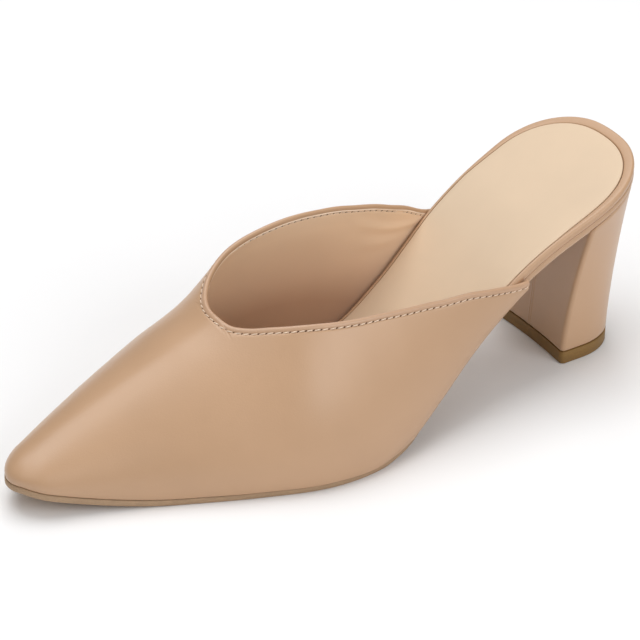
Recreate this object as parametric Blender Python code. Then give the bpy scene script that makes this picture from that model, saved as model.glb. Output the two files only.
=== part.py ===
"""Pointed mule for the left foot with a covered block heel, standing empty on its sole.

Metres. +X runs from the heel to the toe, +Y to the outer side of the foot, +Z up.
Every length is measured from the back of the footbed, and the empty called mule then
carries the pieces so that the middle of the top lift stands on the origin.
"""
import math

import bpy
import numpy as np

# Overall sizes
LENGTH = 0.246          # footbed from its back to its toe tip, along the floor
SEAT_WIDTH = 0.061      # footbed over the heel
BALL_WIDTH = 0.078      # footbed at the ball
HEEL_HEIGHT = 0.072     # floor to the underside of the footbed, at the back
TOE_SPRING = 0.009      # lift of the sole at the toe tip
SPRING_START = 0.80     # share of the length
SPRING_POWER = 1.7
INSTEP_HEIGHT = 0.050   # floor to the ridge of the vamp at the throat
SEAT_ROUND = 0.030      # length of the rounded back of the footbed
TOE_ROUND = 0.008       # length of the rounded toe tip

# Thicknesses and fits
GAP = 0.0003
UPPER_WALL = 0.0018
FOOTBED_THICKNESS = 0.0050
FOOTBED_FOREPART = 0.0023    # its thinner board under the vamp
SOCK_THICKNESS = 0.0012
SOCK_RECESS = 0.0010
SOLE_FOREPART = 0.0024
SOLE_WAIST = 0.0010
LIFT_THICKNESS = 0.0050
RIM_WAIST = 0.0016      # wrapped rim that shows around the sock
RIM_BACK = 0.0040
RIM_POWER = 0.8
EDGE_ROUND = 0.0013     # rolled edge of the footbed
SOLE_EDGE_ROUND = 0.0005
SOLE_PROUD = 0.0004     # outsole past the upper at the toe

# Heel block and its lift
BREAST = 0.0308         # front of the heel under the footbed
LIFT_FRONT = 0.0352
LIFT_BACK = 0.0058
LIFT_WIDTH = 0.0444
LIFT_ROUND = 0.021
HEEL_CORNER = 0.0017
BREAST_HOLLOW = 0.0010
HEEL_FLARE = 1.8        # power of the sides' spread towards the seat
HEEL_RAKE = 1.1         # power of the back's lean

# Upper
WING_START = 0.238      # back ends of the upper, share of the length
THROAT = 0.681          # bottom of the V, share of the length
NOSE_BACK = 0.0050      # start of the ridge behind the toe tip

CORNER_POWER = 2.3      # squareness of the rounded back

# Stretches over which a size changes, as shares of the length
FOOTBED_THINS = (0.45, 0.70)
SOLE_THICKENS = (0.36, 0.52)
SOLE_WIDENS = (0.34, 0.48)
SOLE_STANDS_OUT = (0.60, 0.90)

# Fineness of the meshes
BODY_STATIONS = 34
BREAST_POINTS = 4
CORNER_POINTS = 6
BACK_STATIONS = 8
TOE_STATIONS = 7
WING_STATIONS = 22
VAMP_STATIONS = 17
UPPER_TOE_STATIONS = 8
UPPER_ROWS = 13
HEEL_LEVELS = 11
SLOPE_STEP = LENGTH / 200

# Footbed in plan: how far it reaches to each side of the heel's axis, as shares of the width
# named in the row
PLAN_COLUMNS = ("station", "width", "outer", "inner")
PLAN = (
    (0.000, SEAT_WIDTH, 0.500, 0.500),
    (0.120, SEAT_WIDTH, 0.500, 0.500),
    (0.240, SEAT_WIDTH, 0.472, 0.458),
    (0.340, BALL_WIDTH, 0.380, 0.312),
    (0.400, BALL_WIDTH, 0.420, 0.315),
    (0.480, BALL_WIDTH, 0.500, 0.360),
    (0.540, BALL_WIDTH, 0.538, 0.402),
    (0.600, BALL_WIDTH, 0.532, 0.440),
    (0.700, BALL_WIDTH, 0.425, 0.492),
    (0.810, BALL_WIDTH, 0.266, 0.435),
    (0.910, BALL_WIDTH, 0.131, 0.300),
    (0.970, BALL_WIDTH, 0.055, 0.200),
    (1.000, BALL_WIDTH, 0.015, 0.150),
)

# Underside of the footbed over the tread, as a share of the heel's rise
PROFILE_COLUMNS = ("station", "rise")
PROFILE = (
    (0.000, 1.000),
    (0.120, 0.832),
    (0.190, 0.712),
    (0.240, 0.600),
    (0.290, 0.462),
    (0.345, 0.300),
    (0.400, 0.148),
    (0.450, 0.050),
    (0.510, 0.000),
    (0.600, 0.000),
    (1.000, 0.000),
)

# Ridge of the upper, the virtual part behind the throat included: height as a share of the
# instep, drift to the outer side as a share of the ball width
RIDGE_COLUMNS = ("station", "height", "drift")
RIDGE = (
    (0.230, 2.000, -0.020),
    (0.320, 2.020, -0.100),
    (0.420, 1.930, -0.160),
    (0.520, 1.710, -0.180),
    (0.600, 1.450, -0.130),
    (0.676, 1.080, -0.045),
    (0.750, 0.890, -0.060),
    (0.830, 0.715, -0.080),
    (0.910, 0.545, -0.090),
    (1.000, 0.355, -0.085),
)

# Sides of the upper: outward swell over its foot as a share of the ball width, height of the
# swell's pull as a share of the way to the ridge, and width of the flat crown
SIDES_COLUMNS = (
    "station", "swell_outer", "swell_inner", "pull_outer", "pull_inner", "crown_outer", "crown_inner",
)
SIDES = (
    (0.230, 0.030, 0.020, 0.25, 0.25, 0.30, 0.30),
    (0.320, 0.160, 0.100, 0.25, 0.28, 0.35, 0.35),
    (0.420, 0.160, 0.140, 0.25, 0.30, 0.45, 0.45),
    (0.520, 0.095, 0.120, 0.27, 0.33, 0.50, 0.52),
    (0.620, 0.065, 0.085, 0.30, 0.42, 0.50, 0.72),
    (0.720, 0.055, 0.065, 0.32, 0.42, 0.50, 0.69),
    (0.820, 0.045, 0.040, 0.36, 0.43, 0.50, 0.61),
    (0.920, 0.035, 0.028, 0.42, 0.46, 0.52, 0.57),
    (1.000, 0.020, 0.020, 0.46, 0.46, 0.55, 0.55),
)

# Topline: way left up to the ridge, against the root of the way back from the throat to the wings
TOPLINE_COLUMNS = ("back", "outer", "inner")
TOPLINE = (
    (0.00, 0.000, 0.000),
    (0.10, 0.120, 0.080),
    (0.20, 0.203, 0.165),
    (0.30, 0.286, 0.250),
    (0.40, 0.370, 0.312),
    (0.50, 0.434, 0.350),
    (0.60, 0.486, 0.386),
    (0.70, 0.537, 0.442),
    (0.80, 0.607, 0.520),
    (0.90, 0.714, 0.650),
    (0.95, 0.803, 0.755),
    (1.00, 0.930, 0.935),
)


def column(rows, names, name):
    """One named column of a table as numbers."""
    place = names.index(name)
    return np.array([row[place] for row in rows], dtype=float)


def smooth(at, values, x):
    """Smooth curve through the values at the given places, read at x."""
    x = np.clip(np.asarray(x, dtype=float), at[0], at[-1])
    slopes = np.gradient(values, at)
    i = np.clip(np.searchsorted(at, x, side="right") - 1, 0, len(at) - 2)
    span = at[i + 1] - at[i]
    t = (x - at[i]) / span
    start = (1 + 2 * t) * (1 - t) ** 2 * values[i] + t * (1 - t) ** 2 * span * slopes[i]
    end = t * t * (3 - 2 * t) * values[i + 1] + t * t * (t - 1) * span * slopes[i + 1]
    return start + end


def read(rows, names, name, x, key="station"):
    """A table's column read smoothly at x."""
    return smooth(column(rows, names, key), column(rows, names, name), x)


def ease(x, stretch, start, end):
    """Value that changes gently from start to end over a stretch given in shares of the length."""
    t = np.clip((np.asarray(x, dtype=float) / LENGTH - stretch[0]) / (stretch[1] - stretch[0]), 0, 1)
    return start + (end - start) * t * t * (3 - 2 * t)


def underside(x):
    """Height of the footbed's underside over the floor."""
    share = np.clip(np.asarray(x, dtype=float) / LENGTH, 0, 1)
    low = SOLE_FOREPART + GAP
    rise = (HEEL_HEIGHT - low) * read(PROFILE, PROFILE_COLUMNS, "rise", share)
    spring = np.clip((share - SPRING_START) / (1 - SPRING_START), 0, 1)
    return low + rise + TOE_SPRING * spring ** SPRING_POWER


def slope_factor(x):
    """Vertical thickness of a sheet on the footbed's slope, per unit of its own thickness."""
    slope = (underside(x + SLOPE_STEP) - underside(x - SLOPE_STEP)) / (2 * SLOPE_STEP)
    return np.sqrt(1 + slope ** 2)


def footbed_top(x):
    """Height of the footbed's rim: full thickness under heel and waist, thinner under the vamp."""
    thickness = ease(x, FOOTBED_THINS, FOOTBED_THICKNESS, FOOTBED_FOREPART)
    return underside(x) + thickness * slope_factor(x)


def rounding(x):
    """Narrowing of the plan at the rounded back and at the toe tip."""
    back = np.clip((SEAT_ROUND - x) / SEAT_ROUND, 0, 1)
    toe = np.clip((x - LENGTH + TOE_ROUND) / TOE_ROUND, 0, 1)
    return (1 - back ** CORNER_POWER) ** (1 / CORNER_POWER) * np.sqrt(1 - toe ** 2)


def plan(x):
    """Reach of the footbed to the outer and the inner side of the heel's axis."""
    share = x / LENGTH
    width = column(PLAN, PLAN_COLUMNS, "width")
    at = column(PLAN, PLAN_COLUMNS, "station")
    outer = smooth(at, width * column(PLAN, PLAN_COLUMNS, "outer"), share)
    inner = smooth(at, width * column(PLAN, PLAN_COLUMNS, "inner"), share)
    middle = (outer - inner) / 2
    half = (outer + inner) / 2 * rounding(x)
    return middle + half, middle - half


def plan_sides(x, offset):
    """Both sides of the plan at the stations x, moved outward by the offset."""
    sides = []
    for side in (0, 1):
        y = plan(x)[side]
        line = np.stack([x, y], axis=1)
        along = np.gradient(line, axis=0)
        if x[-1] >= LENGTH:
            along[-1] = (0, -1 if side == 0 else 1)
        if x[0] <= 0:
            along[0] = (0, 1 if side == 0 else -1)
        along /= np.linalg.norm(along, axis=1)[:, None]
        turn = 1 if side == 0 else -1
        normal = np.stack([-along[:, 1], along[:, 0]], axis=1) * turn
        sides.append((line + normal * np.reshape(offset, (-1, 1)), normal))
    return sides


def toe_stations(count):
    """Stations that close up towards the toe tip."""
    return [LENGTH - TOE_ROUND * (1 - math.sin(a)) for a in np.linspace(0, math.pi / 2, count + 1)[1:]]


def body_stations(start):
    """Stations from the start to the toe tip, closer together at the rounded ends."""
    back = []
    if start <= 0:
        turns = np.linspace(math.pi / 2, 0, BACK_STATIONS + 1)[:-1]
        back = [SEAT_ROUND * (1 - math.sin(a)) for a in turns]
        start = SEAT_ROUND
    middle = np.linspace(start, LENGTH - TOE_ROUND, BODY_STATIONS)
    return np.array(back + list(middle) + toe_stations(TOE_STATIONS))


def make_object(name, points, faces, color, roughness, smooth_angle=40):
    mesh = bpy.data.meshes.new(name)
    mesh.from_pydata([tuple(float(v) for v in p) for p in points], [], faces)
    mesh.validate()
    mesh.update()
    mesh.shade_smooth()
    mesh.set_sharp_from_angle(angle=math.radians(smooth_angle))
    material = bpy.data.materials.new(name)
    material.use_nodes = True
    shader = material.node_tree.nodes["Principled BSDF"]
    shader.inputs["Base Color"].default_value = (*color, 1)
    shader.inputs["Roughness"].default_value = roughness
    shader.inputs["Metallic"].default_value = 0
    mesh.materials.append(material)
    item = bpy.data.objects.new(name, mesh)
    bpy.context.collection.objects.link(item)
    return item


def strip_solid(rings, front=1):
    """Closed body from rings of equal length, each a loop of two halves that share both end points.

    The first and the last ring are closed by strips across the body, which follow its curve. One
    face closes the stretch up to the front points on either side of the ring's start.
    """
    count = len(rings[0])
    half = count // 2
    points = np.concatenate(rings)
    faces = []
    for k in range(len(rings) - 1):
        for i in range(count):
            j = (i + 1) % count
            faces.append((k * count + i, k * count + j, (k + 1) * count + j, (k + 1) * count + i))
    for k, flip in ((0, True), (len(rings) - 1, False)):
        closing = [[(n - front) % count for n in range(2 * front + 1)]]
        closing += [[i, i + 1, count - i - 1, count - i] for i in range(front, half - 1)]
        closing.append([half - 1, half, half + 1])
        for face in closing:
            face = [k * count + v for v in face]
            faces.append(tuple(face[::-1] if flip else face))
    return points, faces


def ring(x, offset, height):
    """Loop around the footbed's plan: inner side from the back to the toe, then the outer side."""
    (outer, _), (inner, _) = plan_sides(x, offset)
    outer[0, 1] = inner[0, 1] = (outer[0, 1] + inner[0, 1]) / 2
    outer[-1, 1] = inner[-1, 1] = (outer[-1, 1] + inner[-1, 1]) / 2
    loop = np.concatenate([inner, outer[-2:0:-1]])
    return np.column_stack([loop, height(loop[:, 0])])


def rim_width(x):
    """Width of the wrapped rim around the sock, wider around the heel."""
    t = np.clip(1 - x / (1.5 * SEAT_ROUND), 0, 1)
    return RIM_WAIST + (RIM_BACK - RIM_WAIST) * t ** RIM_POWER


def make_footbed():
    x = body_stations(0)

    def level(share):
        return lambda at: underside(at) + (footbed_top(at) - underside(at)) * share

    roll = EDGE_ROUND / FOOTBED_THICKNESS
    rings = [ring(x, -0.6 * EDGE_ROUND, level(0)), ring(x, 0, level(roll))]
    for turn in np.radians((0, 30, 60, 90)):
        rings.append(ring(x, -EDGE_ROUND * (1 - math.cos(turn)), level(1 - roll + roll * math.sin(turn))))
    rim = rim_width(x)
    rings.append(ring(x, -rim, level(1)))
    rings.append(ring(x, -rim, lambda at: footbed_top(at) - SOCK_RECESS * slope_factor(at)))
    points, faces = strip_solid(rings)
    return make_object("footbed", points, faces, (0.50, 0.31, 0.19), 0.42)


def make_sock():
    x = body_stations(0)
    inset = -(rim_width(x) + GAP)

    def level(height):
        return lambda at: footbed_top(at) + (height - SOCK_RECESS) * slope_factor(at)

    chamfer = SOCK_THICKNESS / 4
    rings = [
        ring(x, inset, level(GAP)),
        ring(x, inset, level(SOCK_THICKNESS - chamfer)),
        ring(x, inset - chamfer, level(SOCK_THICKNESS)),
    ]
    points, faces = strip_solid(rings)
    return make_object("sock", points, faces, (0.83, 0.66, 0.48), 0.60)


def sole_margin(x):
    """Reach of the outsole past the footbed: inside its edge behind the wings, then under the upper."""
    under_upper = ease(x, SOLE_WIDENS, -EDGE_ROUND, UPPER_WALL - GAP)
    return under_upper + ease(x, SOLE_STANDS_OUT, 0, 2 * GAP + SOLE_PROUD)


def make_outsole():
    x = body_stations(BREAST + GAP)
    margin = sole_margin(x)

    def top(at):
        return underside(at) - GAP

    def bottom(at):
        thickness = ease(at, SOLE_THICKENS, SOLE_WAIST, SOLE_FOREPART)
        return np.maximum(top(at) - thickness * slope_factor(at), 0)

    def level(share):
        return lambda at: bottom(at) + (top(at) - bottom(at)) * share

    share = SOLE_EDGE_ROUND / SOLE_FOREPART
    edge = (
        (margin - SOLE_EDGE_ROUND, 0),
        (margin, share),
        (margin, 1 - share),
        (margin - SOLE_EDGE_ROUND / 2, 1),
    )
    rings = []
    for offset, part in edge:
        (outer, _), (inner, _) = plan_sides(x, offset)
        outer[0, 0] = inner[0, 0] = x[0]
        outer[-1, 1] = inner[-1, 1] = (outer[-1, 1] + inner[-1, 1]) / 2
        back = np.array([[x[0], (outer[0, 1] + inner[0, 1]) / 2]])
        loop = np.concatenate([back, inner, outer[-2::-1]])
        rings.append(np.column_stack([loop, level(part)(loop[:, 0])]))
    points, faces = strip_solid(rings, front=2)
    return make_object("outsole", points, faces, (0.42, 0.27, 0.15), 0.50)


def heel_ring(share):
    """D shaped loop around the heel block, from the middle of its breast around the outer side."""
    front = LIFT_FRONT + (BREAST - LIFT_FRONT) * share
    back = LIFT_BACK + (GAP - LIFT_BACK) * share ** HEEL_RAKE
    half = (LIFT_WIDTH + (SEAT_WIDTH - LIFT_WIDTH) * share ** HEEL_FLARE) / 2
    bend = LIFT_ROUND + (SEAT_ROUND - GAP - LIFT_ROUND) * share
    side = []
    for y in np.linspace(0, 1, BREAST_POINTS + 1)[:-1]:
        side.append((front - BREAST_HOLLOW * (1 - y * y), y * (half - HEEL_CORNER)))
    for a in np.linspace(0, math.pi / 2, CORNER_POINTS):
        side.append((front - HEEL_CORNER * (1 - math.cos(a)), half - HEEL_CORNER * (1 - math.sin(a))))
    widest = back + bend
    straight_end = max(widest - front + HEEL_CORNER, 0) / bend
    start = math.asin(straight_end ** (CORNER_POWER / 2))
    for a in np.linspace(start, math.pi / 2, 15)[1:]:
        reach = math.sin(a) ** (2 / CORNER_POWER)
        side.append((widest - bend * reach, half * max(math.cos(a), 0) ** (2 / CORNER_POWER)))
    side = np.array(side)
    side[-1, 1] = 0
    return np.concatenate([side, side[-2:0:-1] * (1, -1)])


def make_heel():
    low = LIFT_THICKNESS + GAP
    top = heel_ring(1.0)
    rise = underside(top[:, 0]) - GAP - low
    rings = [np.column_stack([heel_ring(v), low + rise * v]) for v in np.linspace(0, 1, HEEL_LEVELS)]
    points, faces = strip_solid(rings, front=BREAST_POINTS + CORNER_POINTS - 1)
    return make_object("heel", points, faces, (0.50, 0.31, 0.19), 0.40)


def make_top_lift():
    base = heel_ring(0.0)
    middle = np.array([(LIFT_FRONT + LIFT_BACK) / 2, 0])
    inward = (middle - base) / np.linalg.norm(middle - base, axis=1)[:, None]
    chamfer = SOLE_EDGE_ROUND
    rings = [
        np.column_stack([base + inward * chamfer, np.zeros(len(base))]),
        np.column_stack([base, np.full(len(base), chamfer)]),
        np.column_stack([base, np.full(len(base), LIFT_THICKNESS)]),
    ]
    points, faces = strip_solid(rings, front=BREAST_POINTS + CORNER_POINTS - 1)
    return make_object("top_lift", points, faces, (0.26, 0.15, 0.06), 0.45)


def ridge(x):
    share = x / LENGTH
    height = INSTEP_HEIGHT * read(RIDGE, RIDGE_COLUMNS, "height", share)
    drift = BALL_WIDTH * read(RIDGE, RIDGE_COLUMNS, "drift", share)
    return np.stack([x, drift, height], axis=1)


def upper_stations():
    """Stations from the wings to the throat, close together at the rounded V, then on to the toe tip."""
    throat, wing = THROAT * LENGTH, WING_START * LENGTH
    wings = [throat - (throat - wing) * r * r for r in np.linspace(1, 0, WING_STATIONS)]
    vamp = list(np.linspace(throat, LENGTH - TOE_ROUND, VAMP_STATIONS + 1)[1:])
    return np.array(wings + vamp + toe_stations(UPPER_TOE_STATIONS)), len(wings) - 1


def upper_section(x, side, share):
    """Points of the outer face: from its foot beside the footbed (share 0) to its ridge (share 1)."""
    foot_plan, normal = plan_sides(x, GAP + UPPER_WALL)[side]
    foot = np.column_stack([foot_plan, underside(foot_plan[:, 0])])
    nose = np.clip(1 - (LENGTH - x) / (4 * NOSE_BACK), 0, 1)
    top = ridge(x - NOSE_BACK * nose ** 2)
    ahead, behind = ridge(top[:, 0] + SLOPE_STEP), ridge(top[:, 0] - SLOPE_STEP)
    fall = (ahead[:, 2] - behind[:, 2]) / (2 * SLOPE_STEP)
    label = ("outer", "inner")[side]
    station = x / LENGTH
    swell = BALL_WIDTH * read(SIDES, SIDES_COLUMNS, "swell_" + label, station)
    pull = read(SIDES, SIDES_COLUMNS, "pull_" + label, station)
    crown = read(SIDES, SIDES_COLUMNS, "crown_" + label, station)
    low = foot + np.column_stack([normal * swell[:, None], (top[:, 2] - foot[:, 2]) * pull])
    out = (foot - top) * crown[:, None]
    out[:, 2] = out[:, 0] * fall
    high = top + out
    t = np.reshape(share, (-1, 1))
    return (1 - t) ** 3 * foot + 3 * t * (1 - t) ** 2 * low + 3 * t * t * (1 - t) * high + t ** 3 * top


def walled(points, faces, foot):
    """Closed wall from its outer face: the inner face lies one wall inward, level with it at the foot."""
    normals = np.zeros_like(points)
    for face in faces:
        turn = np.cross(points[face[2]] - points[face[0]], points[face[-1]] - points[face[1]])
        for v in face:
            normals[v] += turn
    normals[foot, 2] = 0
    normals /= np.linalg.norm(normals, axis=1)[:, None]
    inner = points - normals * UPPER_WALL
    inner[foot, 2] = underside(inner[foot, 0])
    count = len(points)
    edges = {(a, b) for face in faces for a, b in zip(face, face[1:] + face[:1])}
    rim = [(b, a, a + count, b + count) for a, b in edges if (b, a) not in edges]
    back = [tuple(v + count for v in face[::-1]) for face in faces]
    return np.concatenate([points, inner]), faces + back + sorted(rim)


def make_upper():
    x, throat_index = upper_stations()
    throat, wing = THROAT * LENGTH, WING_START * LENGTH
    back = np.sqrt(np.clip((throat - x) / (throat - wing), 0, 1))
    rows = UPPER_ROWS
    sides = []
    for side, label in ((0, "outer"), (1, "inner")):
        top_share = 1 - read(TOPLINE, TOPLINE_COLUMNS, label, back, key="back")
        sides.append([upper_section(x, side, top_share * j / rows) for j in range(rows + 1)])
    points = []
    index = {}

    def vertex(side, i, j):
        shared = i == len(x) - 1 or (j == rows and i >= throat_index)
        key = (0 if shared else side, i, j)
        if key not in index:
            index[key] = len(points)
            points.append(sides[key[0]][j][i])
        return index[key]

    faces = []
    for side in (0, 1):
        for i in range(len(x) - 1):
            for j in range(rows):
                corners = ((i, j), (i + 1, j), (i + 1, j + 1), (i, j + 1))
                face = [vertex(side, *corner) for corner in corners]
                face = [v for n, v in enumerate(face) if v not in face[:n]]
                faces.append(tuple(face[::-1] if side == 0 else face))
    points, faces = walled(np.array(points), faces, [index[key] for key in index if key[2] == 0])
    return make_object("upper", points, faces, (0.50, 0.31, 0.19), 0.40)


def main():
    for item in list(bpy.data.objects):
        bpy.data.objects.remove(item, do_unlink=True)
    stand = bpy.data.objects.new("mule", None)
    bpy.context.collection.objects.link(stand)
    stand.location = (-(LIFT_FRONT + LIFT_BACK) / 2, 0, 0)
    for make in (make_footbed, make_sock, make_outsole, make_heel, make_top_lift, make_upper):
        make().parent = stand


main()
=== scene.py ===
"""Pointed mule for the left foot, dressed: leather upper with its stitched fold, wrapped footbed,
sock, covered heel, lift and sole.

Metres. Shapes are worked out from the back of the footbed, +X to the toe and +Y to the outer side
of the foot, and set down so that the middle of the top lift stands on the origin.
"""
import math

import bpy
import numpy as np
from mathutils import Matrix, Vector


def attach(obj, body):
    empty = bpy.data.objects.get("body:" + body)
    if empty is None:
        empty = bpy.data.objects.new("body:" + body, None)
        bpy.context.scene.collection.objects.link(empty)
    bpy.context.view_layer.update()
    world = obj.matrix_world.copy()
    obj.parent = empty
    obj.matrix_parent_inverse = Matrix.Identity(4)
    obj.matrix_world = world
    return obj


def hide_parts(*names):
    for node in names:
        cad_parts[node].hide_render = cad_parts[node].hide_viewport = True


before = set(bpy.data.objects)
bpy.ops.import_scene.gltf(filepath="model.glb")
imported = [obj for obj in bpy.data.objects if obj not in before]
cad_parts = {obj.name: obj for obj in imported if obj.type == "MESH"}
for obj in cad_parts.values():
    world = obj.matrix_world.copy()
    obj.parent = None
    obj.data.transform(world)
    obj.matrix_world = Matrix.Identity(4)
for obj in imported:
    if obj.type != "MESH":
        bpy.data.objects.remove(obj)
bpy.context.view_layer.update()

# Sizes of the shoe, as in its solids
LENGTH = 0.246
SEAT_WIDTH = 0.061
BALL_WIDTH = 0.078
HEEL_HEIGHT = 0.072
TOE_SPRING = 0.009
SPRING_START = 0.80
SPRING_POWER = 1.7
INSTEP_HEIGHT = 0.050
SEAT_ROUND = 0.030
TOE_ROUND = 0.008
GAP = 0.0003
UPPER_WALL = 0.0018
FOOTBED_THICKNESS = 0.0050
FOOTBED_FOREPART = 0.0023
SOCK_THICKNESS = 0.0012
SOCK_RECESS = 0.0010
SOLE_FOREPART = 0.0024
SOLE_WAIST = 0.0010
LIFT_THICKNESS = 0.0050
RIM_WAIST = 0.0016
RIM_BACK = 0.0040
RIM_POWER = 0.8
EDGE_ROUND = 0.0013
SOLE_EDGE_ROUND = 0.0005
SOLE_PROUD = 0.0004
BREAST = 0.0308
LIFT_FRONT = 0.0352
LIFT_BACK = 0.0058
LIFT_WIDTH = 0.0444
LIFT_ROUND = 0.021
HEEL_CORNER = 0.0017
BREAST_HOLLOW = 0.0010
HEEL_FLARE = 1.8
HEEL_RAKE = 1.1
WING_START = 0.238
THROAT = 0.681
NOSE_BACK = 0.0050
CORNER_POWER = 2.3
FOOTBED_THINS = (0.45, 0.70)
SOLE_THICKENS = (0.36, 0.52)
SOLE_WIDENS = (0.34, 0.48)
SOLE_STANDS_OUT = (0.60, 0.90)
SLOPE_STEP = LENGTH / 200
STAND = (LIFT_FRONT + LIFT_BACK) / 2

PLAN_COLUMNS = ("station", "width", "outer", "inner")
PLAN = (
    (0.000, SEAT_WIDTH, 0.500, 0.500),
    (0.120, SEAT_WIDTH, 0.500, 0.500),
    (0.240, SEAT_WIDTH, 0.472, 0.458),
    (0.340, BALL_WIDTH, 0.380, 0.312),
    (0.400, BALL_WIDTH, 0.420, 0.315),
    (0.480, BALL_WIDTH, 0.500, 0.360),
    (0.540, BALL_WIDTH, 0.538, 0.402),
    (0.600, BALL_WIDTH, 0.532, 0.440),
    (0.700, BALL_WIDTH, 0.425, 0.492),
    (0.810, BALL_WIDTH, 0.266, 0.435),
    (0.910, BALL_WIDTH, 0.131, 0.300),
    (0.970, BALL_WIDTH, 0.055, 0.200),
    (1.000, BALL_WIDTH, 0.015, 0.150),
)

PROFILE_COLUMNS = ("station", "rise")
PROFILE = (
    (0.000, 1.000),
    (0.120, 0.832),
    (0.190, 0.712),
    (0.240, 0.600),
    (0.290, 0.462),
    (0.345, 0.300),
    (0.400, 0.148),
    (0.450, 0.050),
    (0.510, 0.000),
    (0.600, 0.000),
    (1.000, 0.000),
)

RIDGE_COLUMNS = ("station", "height", "drift")
RIDGE = (
    (0.230, 2.000, -0.020),
    (0.320, 2.020, -0.100),
    (0.420, 1.930, -0.160),
    (0.520, 1.710, -0.180),
    (0.600, 1.450, -0.130),
    (0.676, 1.080, -0.045),
    (0.750, 0.890, -0.060),
    (0.830, 0.715, -0.080),
    (0.910, 0.545, -0.090),
    (1.000, 0.355, -0.085),
)

SIDES_COLUMNS = (
    "station", "swell_outer", "swell_inner", "pull_outer", "pull_inner", "crown_outer", "crown_inner",
)
SIDES = (
    (0.230, 0.030, 0.020, 0.25, 0.25, 0.30, 0.30),
    (0.320, 0.160, 0.100, 0.25, 0.28, 0.35, 0.35),
    (0.420, 0.160, 0.140, 0.25, 0.30, 0.45, 0.45),
    (0.520, 0.095, 0.120, 0.27, 0.33, 0.50, 0.52),
    (0.620, 0.065, 0.085, 0.30, 0.42, 0.50, 0.72),
    (0.720, 0.055, 0.065, 0.32, 0.42, 0.50, 0.69),
    (0.820, 0.045, 0.040, 0.36, 0.43, 0.50, 0.61),
    (0.920, 0.035, 0.028, 0.42, 0.46, 0.52, 0.57),
    (1.000, 0.020, 0.020, 0.46, 0.46, 0.55, 0.55),
)

TOPLINE_COLUMNS = ("back", "outer", "inner")
TOPLINE = (
    (0.00, 0.000, 0.000),
    (0.10, 0.120, 0.080),
    (0.20, 0.203, 0.165),
    (0.30, 0.286, 0.250),
    (0.40, 0.370, 0.312),
    (0.50, 0.434, 0.350),
    (0.60, 0.486, 0.386),
    (0.70, 0.537, 0.442),
    (0.80, 0.607, 0.520),
    (0.90, 0.714, 0.650),
    (0.95, 0.803, 0.755),
    (1.00, 0.930, 0.935),
)

# Sewing along the top line, measured down from the edge
FOLD_DEPTH = 0.0010      # leather folded over to the inside
LINING_PAINTED_SHADE_SPAN = (8, 40)  # painted shade deep in the lining: none at the first and full at the second, in millimetres from the top line
RAW_EDGE_WIDTH = 0.0004  # pale cut edge of the lining under the fold
SEAM_DEPTH = 0.0022
LINING_SEAM_DEPTH = 0.0019
FOLD_PUFF = 0.00008
SEAM_GROOVE = 0.00026
SEAM_WIDTH = 0.00040
STITCH_PITCH = 0.0027
STITCH_LENGTH = 0.0022
THREAD_RADIUS = 0.00021
HOLE_RADIUS = 0.00018
THROAT_ROUND = 0.004     # stretch around the throat's front where the seam turns across
HOLE_LENGTH = 0.0012
HOLE_SLANT = 0.75
STITCH_SLANT = 0.16
LINING_THICKNESS = 0.00035
LINING_STEP = 0.00012    # stretch over which the inside steps from the fold onto the lining
THREAD_RAISED = 0.00004  # middle of a stitch above the leather
HOLE_SUNK = 0.00006      # middle of a needle hole below it

# Soft creases of the upper: side and face, station and way up of both ends, reach across, depth
CREASES = (
    ("inner", "lining", 0.390, 0.41, 0.255, 0.09, 0.0009, 0.00034),
    ("inner", "lining", 0.375, 0.29, 0.305, 0.15, 0.0010, 0.00024),
    ("inner", "lining", 0.500, 0.50, 0.430, 0.44, 0.0030, 0.00025),
    ("outer", "lining", 0.420, 0.35, 0.300, 0.12, 0.0024, 0.00040),
    ("outer", "leather", 0.560, 0.40, 0.470, 0.34, 0.0080, 0.00035),
    ("outer", "leather", 0.640, 0.62, 0.570, 0.50, 0.0070, 0.00030),
    ("inner", "leather", 0.560, 0.42, 0.460, 0.34, 0.0080, 0.00035),
    ("inner", "leather", 0.640, 0.64, 0.590, 0.55, 0.0060, 0.00025),
)


def column(rows, names, name):
    place = names.index(name)
    return np.array([row[place] for row in rows], dtype=float)


def smooth(at, values, x):
    """Smooth curve through the values at the given places, read at x."""
    x = np.clip(np.asarray(x, dtype=float), at[0], at[-1])
    slopes = np.gradient(values, at)
    i = np.clip(np.searchsorted(at, x, side="right") - 1, 0, len(at) - 2)
    span = at[i + 1] - at[i]
    t = (x - at[i]) / span
    start = (1 + 2 * t) * (1 - t) ** 2 * values[i] + t * (1 - t) ** 2 * span * slopes[i]
    end = t * t * (3 - 2 * t) * values[i + 1] + t * t * (t - 1) * span * slopes[i + 1]
    return start + end


def read(rows, names, name, x, key="station"):
    return smooth(column(rows, names, key), column(rows, names, name), x)


def ease(x, stretch, start, end):
    """Value that changes gently from start to end over a stretch given in shares of the length."""
    t = np.clip((np.asarray(x, dtype=float) / LENGTH - stretch[0]) / (stretch[1] - stretch[0]), 0, 1)
    return start + (end - start) * t * t * (3 - 2 * t)


def underside(x):
    """Height of the footbed's underside over the floor."""
    share = np.clip(np.asarray(x, dtype=float) / LENGTH, 0, 1)
    low = SOLE_FOREPART + GAP
    rise = (HEEL_HEIGHT - low) * read(PROFILE, PROFILE_COLUMNS, "rise", share)
    spring = np.clip((share - SPRING_START) / (1 - SPRING_START), 0, 1)
    return low + rise + TOE_SPRING * spring ** SPRING_POWER


def slope_factor(x):
    slope = (underside(x + SLOPE_STEP) - underside(x - SLOPE_STEP)) / (2 * SLOPE_STEP)
    return np.sqrt(1 + slope ** 2)


def footbed_thickness(x):
    return ease(x, FOOTBED_THINS, FOOTBED_THICKNESS, FOOTBED_FOREPART)


def footbed_top(x):
    return underside(x) + footbed_thickness(x) * slope_factor(x)


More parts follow.
